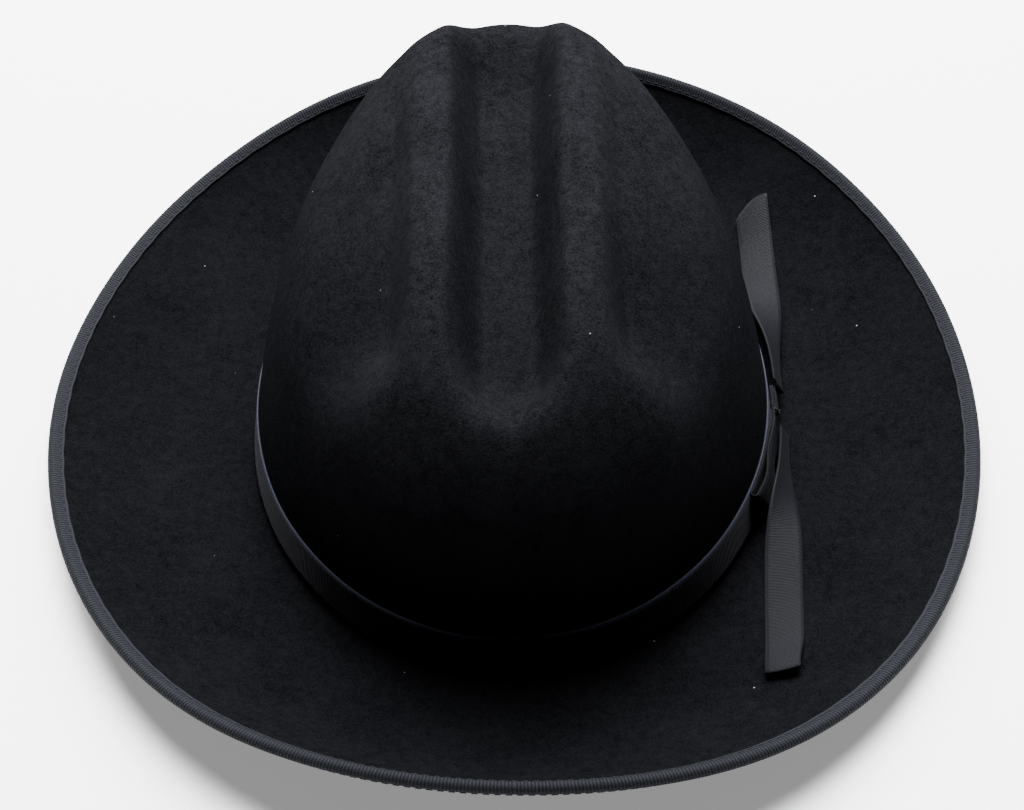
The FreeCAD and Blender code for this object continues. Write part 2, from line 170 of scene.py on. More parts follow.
def creaseDrop(x, y, share, inset):
    # a closed trough along the middle, plus a long dent on each side that is deepest at the
    # front pinch; every wall is a quintic step, and share fades them down the crown
    side, grown = np.abs(x), 0.8 * inset
    half = crease["halfWidth"] + 3.0 * mm * (y / 0.08) ** 2 + grown
    front = smooth(crease["front"] - grown + crease["frontPoint"] * side, crease["frontRun"], y)
    back = smooth(crease["back"] - crease["backRun"] + grown, crease["backRun"], y)
    across = 1 - smooth(crease["floor"] * half, crease["wall"] * half, side)
    trough = crease["depth"] * front * (1 - (1 - crease["backDip"]) * back) * across
    pinch = np.exp(-((y - crease["pinchY"]) / crease["pinchLength"]) ** 2)
    window = smooth(crease["dentFront"] - grown + 0.4 * np.abs(side - 48.0 * mm), crease["dentFrontRun"], y)
    window = window * (1 - smooth(crease["dentBack"] - crease["dentBackRun"], crease["dentBackRun"], y))
    window = window * smooth(crease["dentInner"] - grown, crease["dentInnerRun"], side)
    window = window * (1 - smooth(crease["dentOuter"] + grown, crease["dentOuterRun"], side))
    dent = (crease["dentDepth"] + crease["pinchDepth"] * pinch) * window
    return (trough + dent) * share ** 2


def crownGrid(angle, turn, inset):
    # superellipse from the foot (turn 0) to the middle of the top (turn 1), lowered by the crease
    foot = felt["footRadius"] / felt["height"]
    steep = foot + (0.5 * math.pi - foot) * turn
    full = fullness(angle)
    sine, cosine = np.sin(steep), np.maximum(np.cos(steep), 0.0)
    size = (cosine ** full + sine ** full) ** (-1.0 / full)
    reach, share = size * cosine, size * sine
    x = (felt["halfWidth"] - inset) * reach * (1 - felt["sideLean"] * share) * np.sin(angle)
    y = -(felt["halfLength"] - inset) * reach * (1 - endLean(angle) * share) * np.cos(angle)
    top = felt["height"] + felt["tilt"] * y - inset
    z = felt["thick"] + top * share - creaseDrop(x, y, share, inset)
    return np.stack(np.broadcast_arrays(x, y, z), -1)


def wallGrid(angle, z, out):
    # the crown's plain wall at a height, moved outwards by out
    top = felt["height"] - felt["tilt"] * felt["halfLength"] * np.cos(angle)
    share = (z - felt["thick"]) / top
    full = fullness(angle)
    reach = (1 - np.maximum(share, 0.0) ** full) ** (1 / full)
    x, y = outline(angle, 0.0)
    fx, fy = outline(angle, out)
    x, y = x * reach * (1 - felt["sideLean"] * share) + fx - x, y * reach * (1 - endLean(angle) * share) + fy - y
    return np.stack(np.broadcast_arrays(x, y, z), -1)


def newPiece(name, points, faces, uv, body):
    # a smooth mesh that faces out, with the cloth's own uv in metres, carried by a body
    mesh = bpy.data.meshes.new(name)
    mesh.from_pydata(points.tolist(), [], faces)
    mesh.uv_layers.new(name="weave").data.foreach_set("uv", uv.ravel())
    mesh.update()
    mesh.polygons.foreach_set("use_smooth", np.ones(len(faces), dtype=bool))
    turnOutwards(mesh)
    piece = bpy.data.objects.new(name, mesh)
    bpy.context.scene.collection.objects.link(piece)
    if body:
        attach(piece, body)
    return piece


def lengths(grid):
    # length run along each row, its columns joined up, as the mean over all rows
    steps = np.linalg.norm(np.diff(np.concatenate([grid, grid[:, :1]], 1), axis=1), axis=-1)
    return np.concatenate([[0.0], np.cumsum(steps.mean(0))])


def skin(name, grid, body, wrapRows=False, poles=(), caps=False, turnUv=False):
    # grid[row, column] of points becomes quads; columns always join up and rows do when wrapped,
    # poles are the rows that close to a point, and caps are flat ends on the first and last rows
    rows, columns = grid.shape[:2]
    number = np.arange(rows * columns).reshape(rows, columns)
    around = np.arange(columns)
    i, j = [a.ravel() for a in np.meshgrid(np.arange(rows if wrapRows else rows - 1), around, indexing="ij")]
    nextRow, nextColumn = (i + 1) % rows, (j + 1) % columns
    quads = np.stack([number[i, j], number[i, nextColumn], number[nextRow, nextColumn], number[nextRow, j]], -1)
    alongRow, alongColumn = lengths(grid), lengths(grid.transpose(1, 0, 2))
    u = np.stack([alongRow[j], alongRow[j + 1], alongRow[j + 1], alongRow[j]], -1)
    v = np.stack([alongColumn[i], alongColumn[i], alongColumn[i + 1], alongColumn[i + 1]], -1)
    uv = np.stack([v, u] if turnUv else [u, v], -1).reshape(-1, 2)
    points = grid.reshape(-1, 3)
    faces = quads.tolist()
    nextAround = (around + 1) % columns
    for row in poles:
        first, second = (nextAround, around) if row == 0 else (around, nextAround)
        tip = np.full(columns, len(points))
        points = np.concatenate([points, grid[row].mean(0)[None]])
        faces += np.stack([tip, number[row, first], number[row, second]], -1).tolist()
        uv = np.concatenate([uv, np.zeros((3 * columns, 2))])
    if caps:
        faces += [number[0, ::-1].tolist(), number[-1].tolist()]
        uv = np.concatenate([uv, np.zeros((2 * columns, 2))])
    return newPiece(name, points, faces, uv, body)


def turnOutwards(mesh):
    # the signed volume of a closed mesh is positive when its faces look out
    mesh.calc_loop_triangles()
    points = np.empty(len(mesh.vertices) * 3)
    mesh.vertices.foreach_get("co", points)
    corners = np.empty(len(mesh.loop_triangles) * 3, dtype=np.int64)
    mesh.loop_triangles.foreach_get("vertices", corners)
    a, b, c = points.reshape(-1, 3)[corners].reshape(-1, 3, 3).transpose(1, 0, 2)
    if np.einsum("ij,ij->i", a, np.cross(b, c)).sum() < 0:
        mesh.flip_normals()


def paint(piece, material):
    # one material on the whole piece
    piece.data.materials.clear()
    piece.data.materials.append(material)


def finish(piece, material, cadNode):
    # the piece takes the place of its CAD node and gets its material
    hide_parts(cadNode)
    paint(piece, material)


# Materials


def group(name, inputs, outputs):
    # a node group of plain numbers: inputs are pairs of name and value, outputs are names
    tree = bpy.data.node_groups.new(name, "ShaderNodeTree")
    for label, value in inputs:
        socket = tree.interface.new_socket(label, in_out="INPUT", socket_type="NodeSocketFloat")
        socket.default_value = value
    for label in outputs:
        tree.interface.new_socket(label, in_out="OUTPUT", socket_type="NodeSocketFloat")
    return tree, tree.nodes.new("NodeGroupInput"), tree.nodes.new("NodeGroupOutput")


def node(tree, kind, **settings):
    # a new node with its settings
    made = tree.nodes.new(kind)
    for key, value in settings.items():
        setattr(made, key, value)
    return made


def link(tree, source, target):
    # a wire from an output to an input
    tree.links.new(source, target)


def ramp(tree, source, low, high):
    # 0 at low, 1 at high, straight between and level beyond
    made = node(tree, "ShaderNodeMapRange")
    made.inputs["From Min"].default_value, made.inputs["From Max"].default_value = low, high
    link(tree, source, made.inputs["Value"])
    return made.outputs["Result"]


def maths(tree, operation, a, b=0.0):
    # one sum; each side is a number or another node's output
    made = node(tree, "ShaderNodeMath", operation=operation)
    for socket, value in zip(made.inputs, (a, b)):
        if isinstance(value, (int, float)):
            socket.default_value = value
        else:
            link(tree, value, socket)
    return made.outputs[0]


def blend(tree, first, firstShare, second, secondShare):
    # first * firstShare + second * secondShare
    one, other = maths(tree, "MULTIPLY", first, firstShare), maths(tree, "MULTIPLY", second, secondShare)
    return maths(tree, "ADD", one, other)


def sineWave(tree, turns):
    # 0 to 1 and back once a turn, a sine
    sine = maths(tree, "SINE", maths(tree, "MULTIPLY", turns, 2 * math.pi))
    return maths(tree, "ADD", maths(tree, "MULTIPLY", sine, 0.5), 0.5)


def parts(tree, vector):
    # the three numbers of a vector
    split = node(tree, "ShaderNodeSeparateXYZ")
    link(tree, vector, split.inputs[0])
    return split.outputs


def clothUv(tree):
    # the cloth's own coordinates in metres, along it and across it
    return node(tree, "ShaderNodeUVMap", uv_map="weave").outputs["UV"]


def noise(tree, vector, scale, detail, roughness):
    # fractal noise, scale in cells per metre
    made = node(tree, "ShaderNodeTexNoise")
    made.inputs["Scale"].default_value = scale
    made.inputs["Detail"].default_value = detail
    made.inputs["Roughness"].default_value = roughness
    link(tree, vector, made.inputs["Vector"])
    return made.outputs["Fac"]


def napGroup():
    # brushed fur felt: fine fibre noise, soft mottling, rare pale specks of lint, and a painted highlight
    # that makes the felt paler towards the top of the crown and darker lower down
    tree, inward, outward = group("felt nap", [("Mottle", 0.5), ("Grain", 1.7)], ("Shade", "Lint", "Height"))
    place = node(tree, "ShaderNodeTexCoord").outputs["Object"]
    fibre = noise(tree, place, 1500.0, 3.0, 0.65)
    clump = noise(tree, place, 320.0, 4.0, 0.6)
    broad = noise(tree, place, 42.0, 3.0, 0.55)
    mixed = blend(tree, clump, 0.6, broad, 0.4)
    shade = maths(tree, "MULTIPLY", maths(tree, "SUBTRACT", mixed, 0.5), inward.outputs["Mottle"])
    grain = maths(tree, "MULTIPLY", maths(tree, "SUBTRACT", fibre, 0.5), inward.outputs["Grain"])
    # painted light: the felt's colour is made paler towards the top of the crown and darker lower down, by height
    # alone
    top = ramp(tree, parts(tree, place)[2], 0.06, 0.112)
    paintedTopLight = maths(tree, "ADD", 0.42, maths(tree, "MULTIPLY", top, 0.7))
    whole = maths(tree, "ADD", maths(tree, "ADD", shade, grain), 0.5)
    link(tree, maths(tree, "MULTIPLY", whole, paintedTopLight), outward.inputs["Shade"])
    cells = node(tree, "ShaderNodeTexVoronoi")
    cells.inputs["Scale"].default_value = 210.0
    link(tree, place, cells.inputs["Vector"])
    near = ramp(tree, cells.outputs["Distance"], 0.06, 0.035)
    rare = node(tree, "ShaderNodeSeparateColor")
    link(tree, cells.outputs["Color"], rare.inputs[0])
    chosen = maths(tree, "GREATER_THAN", rare.outputs[0], 0.95)
    link(tree, maths(tree, "MULTIPLY", near, chosen), outward.inputs["Lint"])
    link(tree, blend(tree, fibre, 0.6, clump, 0.9), outward.inputs["Height"])
    return tree


def ribGroup():
    # grosgrain: rounded ribs across the ribbon, broken up a little by the yarns, and a smooth
    # selvedge where v is near 0 or near the ribbon's width
    tree, inward, outward = group("grosgrain ribs", [("Pitch", ribbon["ribPitch"]), ("Uneven", 0.25),
                                                     ("Width", ribbon["bandWidth"])], ("Shade", "Height"))
    cloth = clothUv(tree)
    u, v = parts(tree, cloth)[:2]
    yarn = noise(tree, cloth, 900.0, 2.0, 0.5)
    stray = maths(tree, "MULTIPLY", maths(tree, "SUBTRACT", yarn, 0.5), inward.outputs["Uneven"])
    level = sineWave(tree, maths(tree, "ADD", maths(tree, "DIVIDE", u, inward.outputs["Pitch"]), stray))
    fromEdge = maths(tree, "ABSOLUTE", maths(tree, "SUBTRACT", v, inward.outputs["Width"]))
    selvedge = ramp(tree, maths(tree, "MINIMUM", v, fromEdge), 0.7 * mm, 0.4 * mm)
    ribbed = maths(tree, "SUBTRACT", 1.0, selvedge)
    link(tree, blend(tree, maths(tree, "POWER", level, 0.6), ribbed, selvedge, 0.9), outward.inputs["Height"])
    shade = blend(tree, level, 0.7, yarn, 0.3)
    link(tree, maths(tree, "ADD", maths(tree, "MULTIPLY", shade, ribbed), selvedge), outward.inputs["Shade"])
    return tree


def twistGroup():
    # spun thread or cord: slanting strands, a sine of the length plus the way round
    tree, inward, outward = group("spun twist", [("Pitch", 0.8 * mm)], ("Shade", "Height"))
    cloth = clothUv(tree)
    u, v = parts(tree, cloth)[:2]
    level = sineWave(tree, maths(tree, "DIVIDE", maths(tree, "ADD", u, v), inward.outputs["Pitch"]))
    fuzz = noise(tree, cloth, 2500.0, 2.0, 0.6)
    link(tree, level, outward.inputs["Height"])
    link(tree, blend(tree, level, 0.6, fuzz, 0.4), outward.inputs["Shade"])
    return tree


def weaveGroup():
    # plain cloth: one set of yarns over and under the other, a product of two sines
    tree, inward, outward = group("plain weave", [("Pitch", 0.4 * mm)], ("Shade", "Height"))
    cloth = clothUv(tree)
    waves = []
    for part in parts(tree, cloth)[:2]:
        count = maths(tree, "DIVIDE", part, inward.outputs["Pitch"])
        waves.append(maths(tree, "SINE", maths(tree, "MULTIPLY", count, math.pi)))
    level = maths(tree, "ADD", maths(tree, "MULTIPLY", maths(tree, "MULTIPLY", *waves), 0.5), 0.5)
    slub = noise(tree, cloth, 160.0, 3.0, 0.6)
    link(tree, level, outward.inputs["Height"])
    link(tree, blend(tree, level, 0.4, slub, 0.6), outward.inputs["Shade"])
    return tree


def hideGroup():
    # leather: rounded grain cells, pores and slow changes of tone
    tree, inward, outward = group("hide grain", [("Grain", 900.0), ("Wear", 0.5)], ("Shade", "Height", "Gloss"))
    place = node(tree, "ShaderNodeTexCoord").outputs["Object"]
    cells = node(tree, "ShaderNodeTexVoronoi", feature="SMOOTH_F1")
    link(tree, inward.outputs["Grain"], cells.inputs["Scale"])
    link(tree, place, cells.inputs["Vector"])
    grain = cells.outputs["Distance"]
    fine = noise(tree, place, 2600.0, 2.0, 0.6)
    tone = noise(tree, place, 38.0, 4.0, 0.6)
    link(tree, maths(tree, "SUBTRACT", maths(tree, "MULTIPLY", fine, 0.25), grain), outward.inputs["Height"])
    link(tree, blend(tree, tone, inward.outputs["Wear"], grain, 0.5), outward.inputs["Shade"])
    link(tree, maths(tree, "ADD", 0.3, maths(tree, "MULTIPLY", tone, 0.3)), outward.inputs["Gloss"])
    return tree


def principled(name, roughness, **values):
    # a new material; each named value goes on the shader's own socket
    material = bpy.data.materials.new(name)
    material.use_nodes = True
    tree = material.node_tree
    shader = tree.nodes["Principled BSDF"]
    shader.inputs["Roughness"].default_value = roughness
    for label, value in values.items():
        shader.inputs[label.replace("_", " ")].default_value = value
    return material, tree, shader


def tint(tree, shader, fac, dark, light):
    # straight mix from the dark colour to the light one, on the base colour
    mixer = node(tree, "ShaderNodeMix", data_type="RGBA")
    mixer.inputs["A"].default_value = (*dark, 1.0)
    mixer.inputs["B"].default_value = (*light, 1.0)
    link(tree, fac, mixer.inputs["Factor"])
    link(tree, mixer.outputs["Result"], shader.inputs["Base Color"])
    return mixer


def bump(tree, shader, height, distance, strength):
    # relief finer than the mesh, a share of the distance
    made = node(tree, "ShaderNodeBump")
    made.inputs["Distance"].default_value = distance
    made.inputs["Strength"].default_value = strength
    link(tree, height, made.inputs["Height"])
    link(tree, made.outputs["Normal"], shader.inputs["Normal"])


nap, ribs, twist, weave, hide = napGroup(), ribGroup(), twistGroup(), weaveGroup(), hideGroup()

feltLook = {
    "dark": (0.0008, 0.0008, 0.0011),
    "light": (0.0088, 0.009, 0.0104),
    "lint": (0.16, 0.16, 0.16),
    "mottle": 1.35,
    "napDepth": 0.4 * mm,
    "napStrength": 0.75,
}


def feltMaterial():
    # nap from dark to light, which carries the nap group's painted highlight on the crown's top, with specks of
    # lint laid over it
    material, tree, shader = principled("black fur felt", 1.0, Sheen_Weight=0.002, Sheen_Roughness=0.45,
                                        Sheen_Tint=(0.72, 0.76, 0.86, 1.0), Specular_IOR_Level=0.0)
    look = node(tree, "ShaderNodeGroup", node_tree=nap)
    look.inputs["Mottle"].default_value = feltLook["mottle"]
    body = tint(tree, shader, look.outputs["Shade"], feltLook["dark"], feltLook["light"])
    lint = node(tree, "ShaderNodeMix", data_type="RGBA")
    lint.inputs["B"].default_value = (*feltLook["lint"], 1.0)
    link(tree, look.outputs["Lint"], lint.inputs["Factor"])
    link(tree, body.outputs["Result"], lint.inputs["A"])
    link(tree, lint.outputs["Result"], shader.inputs["Base Color"])
    bump(tree, shader, look.outputs["Height"], feltLook["napDepth"], feltLook["napStrength"])
    return material


def patterned(name, groupTree, dark, light, roughness, depth, strength, values=(), **shaderValues):
    # one cloth, thread or leather: a group's Shade mixes two colours and its Height raises the surface
    material, tree, shader = principled(name, roughness, **shaderValues)
    look = node(tree, "ShaderNodeGroup", node_tree=groupTree)
    for label, value in dict(values).items():
        look.inputs[label].default_value = value
    tint(tree, shader, look.outputs["Shade"], dark, light)
    bump(tree, shader, look.outputs["Height"], depth, strength)
    if "Gloss" in look.outputs:
        link(tree, look.outputs["Gloss"], shader.inputs["Roughness"])
    return material


def shieldMaterial():
    # thin clear plastic: mostly lets light through, with faint scuffs in its gloss
    material, tree, shader = principled("clear shield", 0.08, Transmission_Weight=1.0, IOR=1.46)
    place = node(tree, "ShaderNodeTexCoord").outputs["Object"]
    scuff = noise(tree, place, 60.0, 5.0, 0.7)
    link(tree, maths(tree, "ADD", 0.03, maths(tree, "MULTIPLY", scuff, 0.22)), shader.inputs["Roughness"])
    shader.inputs["Base Color"].default_value = (0.93, 0.95, 0.96, 1.0)
    bump(tree, shader, noise(tree, place, 14.0, 2.0, 0.5), 0.0006, 0.3)
    return material


silk = {"Sheen_Weight": 0.03, "Sheen_Roughness": 0.4, "Specular_IOR_Level": 0.1}
mattSilk = {"Sheen_Weight": 0.008, "Sheen_Roughness": 0.4, "Specular_IOR_Level": 0.03}

# each cloth: dark, light, roughness, depth of relief, its strength, then the group's own values
feltCloth = feltMaterial()
bandCloth = patterned("hatband grosgrain", ribs, (0.003, 0.0032, 0.006), (0.0115, 0.0125, 0.022),
                      0.55, 0.2 * mm, 0.8, {"Width": ribbon["bandWidth"]}, **silk)
bowCloth = patterned("bow grosgrain", ribs, (0.002, 0.0022, 0.003), (0.0066, 0.007, 0.0088),
                     0.5, 0.15 * mm, 0.7, {"Pitch": 0.6 * mm, "Width": 12.0 * mm}, **mattSilk)
bindingCloth = patterned("binding grosgrain", ribs, (0.0026, 0.0029, 0.0038), (0.0106, 0.0114, 0.0142),
                         0.65, 0.25 * mm, 0.7, {"Pitch": 1.0 * mm, "Uneven": 0.5, "Width": 0.0}, **mattSilk)
threadYarn = patterned("black thread", twist, (0.002, 0.002, 0.003), (0.009, 0.009, 0.012),
                       0.7, 0.08 * mm, 0.8, Specular_IOR_Level=0.1)
leatherHide = patterned("tan leather", hide, (0.075, 0.034, 0.016), (0.27, 0.145, 0.075),
                        0.45, 0.25 * mm, 0.35, Specular_IOR_Level=0.4)
tabHide = patterned("dark leather", hide, (0.03, 0.015, 0.009), (0.12, 0.06, 0.034),
                    0.45, 0.25 * mm, 0.45, {"Grain": 1300.0, "Wear": 0.8})
tapeCloth = patterned("reed tape", weave, (0.01, 0.01, 0.012), (0.05, 0.05, 0.056),
                      0.8, 0.15 * mm, 0.8, {"Pitch": 0.5 * mm})
satinCloth = patterned("lining satin", weave, (0.012, 0.012, 0.018), (0.042, 0.042, 0.058),
                       0.34, 0.05 * mm, 0.5, {"Pitch": 0.22 * mm},
                       Sheen_Weight=0.3, Sheen_Roughness=0.3, Anisotropic=0.6)
pipingCord = patterned("piping cord", twist, (0.02, 0.02, 0.028), (0.07, 0.07, 0.09),
                       0.4, 0.15 * mm, 0.8, {"Pitch": 1.5 * mm})
tagCloth = patterned("woven tag", weave, (0.42, 0.4, 0.35), (0.68, 0.66, 0.6),
                     0.7, 0.1 * mm, 0.7, {"Pitch": 0.35 * mm})
reedPlastic = patterned("reed", hide, (0.5, 0.48, 0.43), (0.72, 0.7, 0.64),
                        0.5, 0.05 * mm, 0.3, {"Grain": 400.0, "Wear": 1.0})
print("materials made")

# Felt


def feltPiece():
    # one closed surface, row by row: crown outside, fillet at its foot, brim's top, edge, brim's
    # under side, the fillet again a thickness further out, and the crown's inside
    angle = np.linspace(0, 2 * math.pi, 320, endpoint=False)[None, :]
    crownTurn = (1 - np.linspace(0.004, 1.0, 120))[:, None]
    corner = np.radians(np.linspace(0, 90, 7))[1:, None]
    along = np.linspace(felt["footRadius"], brim["width"], 44)[1:, None]
    thick, foot = felt["thick"], felt["footRadius"]
    whole = foot + thick

    def strip(out, up):
        # a curve round the crown's foot, at a distance out and a height
        x, y = outline(angle, out)
        return np.stack(np.broadcast_arrays(x, y, up), -1)

    grids = [
        crownGrid(angle, crownTurn, 0.0),
        strip(foot * (1 - np.cos(corner)), thick + foot * (1 - np.sin(corner))),
        brimGrid(angle, along, 0.0),
        edgeGrid(angle, np.linspace(0, 1, 9)[1:, None], 0.0),
        brimGrid(angle, along[::-3][1:], -thick),
        strip(foot - whole * np.cos(corner[::-1]), whole * (1 - np.sin(corner[::-1]))),
        crownGrid(angle, np.linspace(0, 0.996, 60)[:, None], thick),
    ]
    finish(skin("felt", np.concatenate(grids), "hat", poles=(0, -1)), feltCloth, "felt_body")


feltPiece()
print("felt done")

# Binding and hatband

around = np.linspace(0, 2 * math.pi, 480, endpoint=False)[None, :]


def bindingPiece():
    # a ribbon folded over the edge: lap, nose and lap again, outside then inside
    cover, width = ribbon["bindingCover"], brim["width"]
    lap = np.linspace(width - cover, width, 7)[:, None]
    nose = np.linspace(0, 1, 13)[1:-1, None]
    pucker = 0.12 * mm * np.sin(97 * around) * np.clip((width - lap) / cover, 0, 1)

    def layer(lift):
        # over the top lap, round the nose and back under
        return np.concatenate([brimGrid(around, lap - pucker, lift), edgeGrid(around, nose, lift),
                               brimGrid(around, lap[::-1] - pucker[::-1], -felt["thick"] - lift)])

    grid = np.concatenate([layer(bandFace), layer(ribbon["seat"])[::-1]])
    finish(skin("brim_edge_binding", grid, "hat", wrapRows=True), bindingCloth, "brim_binding")


def bandPiece():
    # the hatband follows the crown's wall, with a slight ripple in its height
    z = np.linspace(bandLow, bandHigh, 9)[:, None]
    ripple = 0.15 * mm * np.sin(7 * around + 0.4) + 0.1 * mm * np.sin(13 * around)
    outer, inner = wallGrid(around, z + ripple, bandFace), wallGrid(around, z[::-1] + ripple, ribbon["seat"])
    grid = np.concatenate([outer, inner])
    finish(skin("hatband", grid, "hat", wrapRows=True), bandCloth, "hatband_ribbon")


bindingPiece()
bandPiece()
print("binding and hatband done")

stitch = {
    "thread": 0.4 * mm,
    "edgeLength": 2.1 * mm,
    "edgeCount": 310,
    "bandLength": 2.4 * mm,
    "bandCount": 170,
    "tackLength": 1.6 * mm,
    "tackAngles": (35.0, 145.0, 215.0, 325.0),
    "rings": 7,
    "sides": 6,
}
tiny = 1e-4                       # a small angle, for speeds round the hat


def speedRound(surface, places, *rest):
    # metres moved along a surface per radian round the hat
    return np.linalg.norm(surface(places + tiny, *rest) - surface(places, *rest), axis=-1) / tiny


def stitches(name, surface, places, across, lift, length, cadNode, upright=False):
    # each stitch is a capsule laid on a surface: its radius is r sqrt(1 - t^4) along it and it
    # arches up by r (1 - t^2) / 2
    rings, sides, radius = stitch["rings"], stitch["sides"], 0.5 * stitch["thread"]
    t, ring = np.linspace(-0.99, 0.99, rings)[:, None], (np.arange(sides) / sides * 2 * math.pi)[None, :]
    size = radius * np.sqrt(1 - t ** 4)
    along, beside = 0.5 * length * t + 0 * ring, size * np.cos(ring)
    above = 0.8 * size * np.sin(ring) + 0.5 * radius * (1 - t ** 2)
    if upright:
        along, beside = beside, along
    angle = places[:, None, None] + along / speedRound(surface, places, across, lift)[:, None, None]
    points = surface(angle, across + beside, lift + above)
    number = np.arange(len(places) * rings * sides).reshape(-1, rings, sides)
    turned = np.roll(number, -1, axis=2)
    quads = np.stack([number[:, :-1], turned[:, :-1], turned[:, 1:], number[:, 1:]], -1).reshape(-1, 4)
    ends = np.concatenate([number[:, 0, ::-1], number[:, -1]])
    flat = np.stack(np.broadcast_arrays(0.5 * length * t, radius * ring), -1).reshape(-1, 2)
    uv = flat[np.concatenate([quads.ravel(), ends.ravel()]) % (rings * sides)]
    piece = newPiece(name, points.reshape(-1, 3), quads.tolist() + ends.tolist(), uv, "hat")
    finish(piece, threadYarn, cadNode)


def evenly(count, shift=0.0):
    # equal angles round the hat, moved on by a share of one step
    return (np.arange(count) + shift) / count * 2 * math.pi


seamLine = brim["width"] - ribbon["bindingCover"] + 1.2 * mm
stitches("binding_top_stitches", brimGrid, evenly(stitch["edgeCount"]), seamLine, bandFace,
         stitch["edgeLength"], "binding_top_thread")
stitches("binding_under_stitches", brimGrid, evenly(stitch["edgeCount"], 0.5), seamLine,
         -felt["thick"] - bandFace - 0.2 * mm, stitch["edgeLength"], "binding_under_thread")
stitches("hatband_tack_stitches", wallGrid, np.radians(stitch["tackAngles"]), bandHigh - 1.0 * mm,
         bandFace, stitch["tackLength"], "hatband_tacks", upright=True)
print("stitches done")

# Bow

bow = {
    "knotShift": -5.0 * mm,       # the thread ties the ribbon this far along the wall from the side
    "knotHeight": 11.0 * mm,
    "neckLength": 11.2 * mm,
    "neckWidth": 3.6 * mm,
    "neckThick": 2.4 * mm,
    "loopLength": 41.0 * mm,
    "loopWidth": 15.0 * mm,
    "loopRise": 1.4 * mm,
    "loopSlant": 4.5 * mm,
    "loopAir": 0.4 * mm,          # half the room between its two layers at the knot
    "loopGape": 0.75 * mm,        # and how much that grows towards the fold
    "crumple": 0.25 * mm,
    "tailWidth": 12.0 * mm,
    "thick": 0.6 * mm,
}
bowSeat = bandFace + ribbon["seat"]
knotAngle = 0.5 * math.pi + bow["knotShift"] / felt["halfLength"]


def neckPiece():
    # the gathered ribbon: an oval rod along the wall with pleats, a cosine round its section
    t, turn = np.linspace(0, 1, 25)[:, None], np.linspace(0, 2 * math.pi, 56, endpoint=False)[None, :]
    run = bow["neckLength"] * t
    pinch = 1 - 0.22 * np.exp(-((run - 0.7 * mm) / (1.0 * mm)) ** 2)
    pleat = pinch * (1 + 0.09 * np.cos(8 * turn + 2.2 * t) + 0.04 * np.cos(13 * turn - 3 * t))
    z = bow["knotHeight"] + 0.5 * bow["neckWidth"] * pleat * np.sin(turn)
    out = bowSeat + 0.5 * bow["neckThick"] * (1.05 + pleat * np.cos(turn))
    grid = wallGrid(knotAngle + run / felt["halfLength"], z, out)
    finish(skin("bow_gathered_neck", grid, "hat", caps=True, turnUv=True), bowCloth, "bow_neck")


def knotThread():
    # three turns of thread: a helix on an oval round the neck, thickened to a tube
    turn = np.linspace(0, 6 * math.pi, 90)[:, None]
    ring = np.linspace(0, 2 * math.pi, 8, endpoint=False)[None, :]
    radius = 0.5 * stitch["thread"]
    tall, deep = 0.42 * bow["neckWidth"] + radius, 0.42 * bow["neckThick"] + radius
    run = 0.3 * mm + 1.0 * mm * turn / (6 * math.pi) + radius * np.sin(ring)
    z = bow["knotHeight"] + (tall + radius * np.cos(ring)) * np.sin(turn)
    out = bowSeat + 0.55 * bow["neckThick"] + (deep + radius * np.cos(ring)) * np.cos(turn)
    grid = wallGrid(knotAngle + run / felt["halfLength"], z, np.maximum(out, bandFace))
    finish(skin("bow_knot_thread", grid, "hat", caps=True, turnUv=True), threadYarn, "bow_tie_thread")


def ribbonSection(count):
    # across runs -1 to 1 over the top and back underneath, level is half the thickness at each
    across, half = np.linspace(-1, 1, count), np.full(count, 0.5)
    return np.concatenate([across, across[::-1]])[None, :], np.concatenate([half, -half])[None, :]


def loopPiece():
    # ribbon out along the band, round a fold and back: a racetrack in run and distance from the wall
    across, level = ribbonSection(9)
    leg = np.linspace(0, 1, 30)
    fold = np.linspace(0.5 * math.pi, -0.5 * math.pi, 13)[1:-1]
    gape = bow["loopAir"] + bow["loopGape"] * smooth(0.35, 0.6, leg)
    base, wide = bowSeat + 0.3 * mm, gape[-1]
    straight = bow["loopLength"] * leg - wide * leg
    run = np.concatenate([straight, bow["loopLength"] - wide + wide * np.cos(fold), straight[::-1]])
    out = np.concatenate([base + 2 * gape, base + wide + wide * np.sin(fold), 0 * leg + base])[:, None]
    slopeRun, slopeOut = np.gradient(run)[:, None], np.gradient(out[:, 0])[:, None]
    size = np.hypot(slopeRun, slopeOut)
    far = run[:, None] / bow["loopLength"]
    share = smooth(0.0, 0.45, far)
    half = 0.5 * (bow["neckWidth"] + (bow["loopWidth"] - bow["neckWidth"]) * share)
    crumple = bow["crumple"] * np.sin(3.2 * across + 14 * far) * share
    runs = run[:, None] - slopeOut / size * bow["thick"] * level + bow["loopSlant"] * across * far
    outs = out + slopeRun / size * bow["thick"] * level + np.where(out > base, crumple, 0)
    z = bow["knotHeight"] + bow["loopRise"] * share + half * across
    grid = wallGrid(knotAngle - runs / felt["halfLength"], z, np.maximum(outs, bandFace + 0.02 * mm))
    finish(skin("bow_flat_loop", grid, "hat", caps=True, turnUv=True), bowCloth, "bow_loop")


def brimHeight(x, y):
    # height of the brim's top: the nearest angle on the crown's foot by repeated correction,
    # then the brim's arc at that distance out
    angle, out = np.arctan2(x / felt["halfWidth"], -y / felt["halfLength"]), 0.0 * x
    for _ in range(12):
        footX, footY = outline(angle, 0.0)
        tx, ty = felt["halfWidth"] * np.cos(angle), felt["halfLength"] * np.sin(angle)
        size = np.hypot(tx, ty)
        angle = angle + ((x - footX) * tx + (y - footY) * ty) / (size * (size + out))
        out = np.hypot(x - footX, y - footY)
    radius = brimRadius(angle)
    turned = np.arcsin(np.maximum(out - brim["flat"], 0.0) / radius)
    return felt["thick"] + radius * (1 - np.cos(turned))


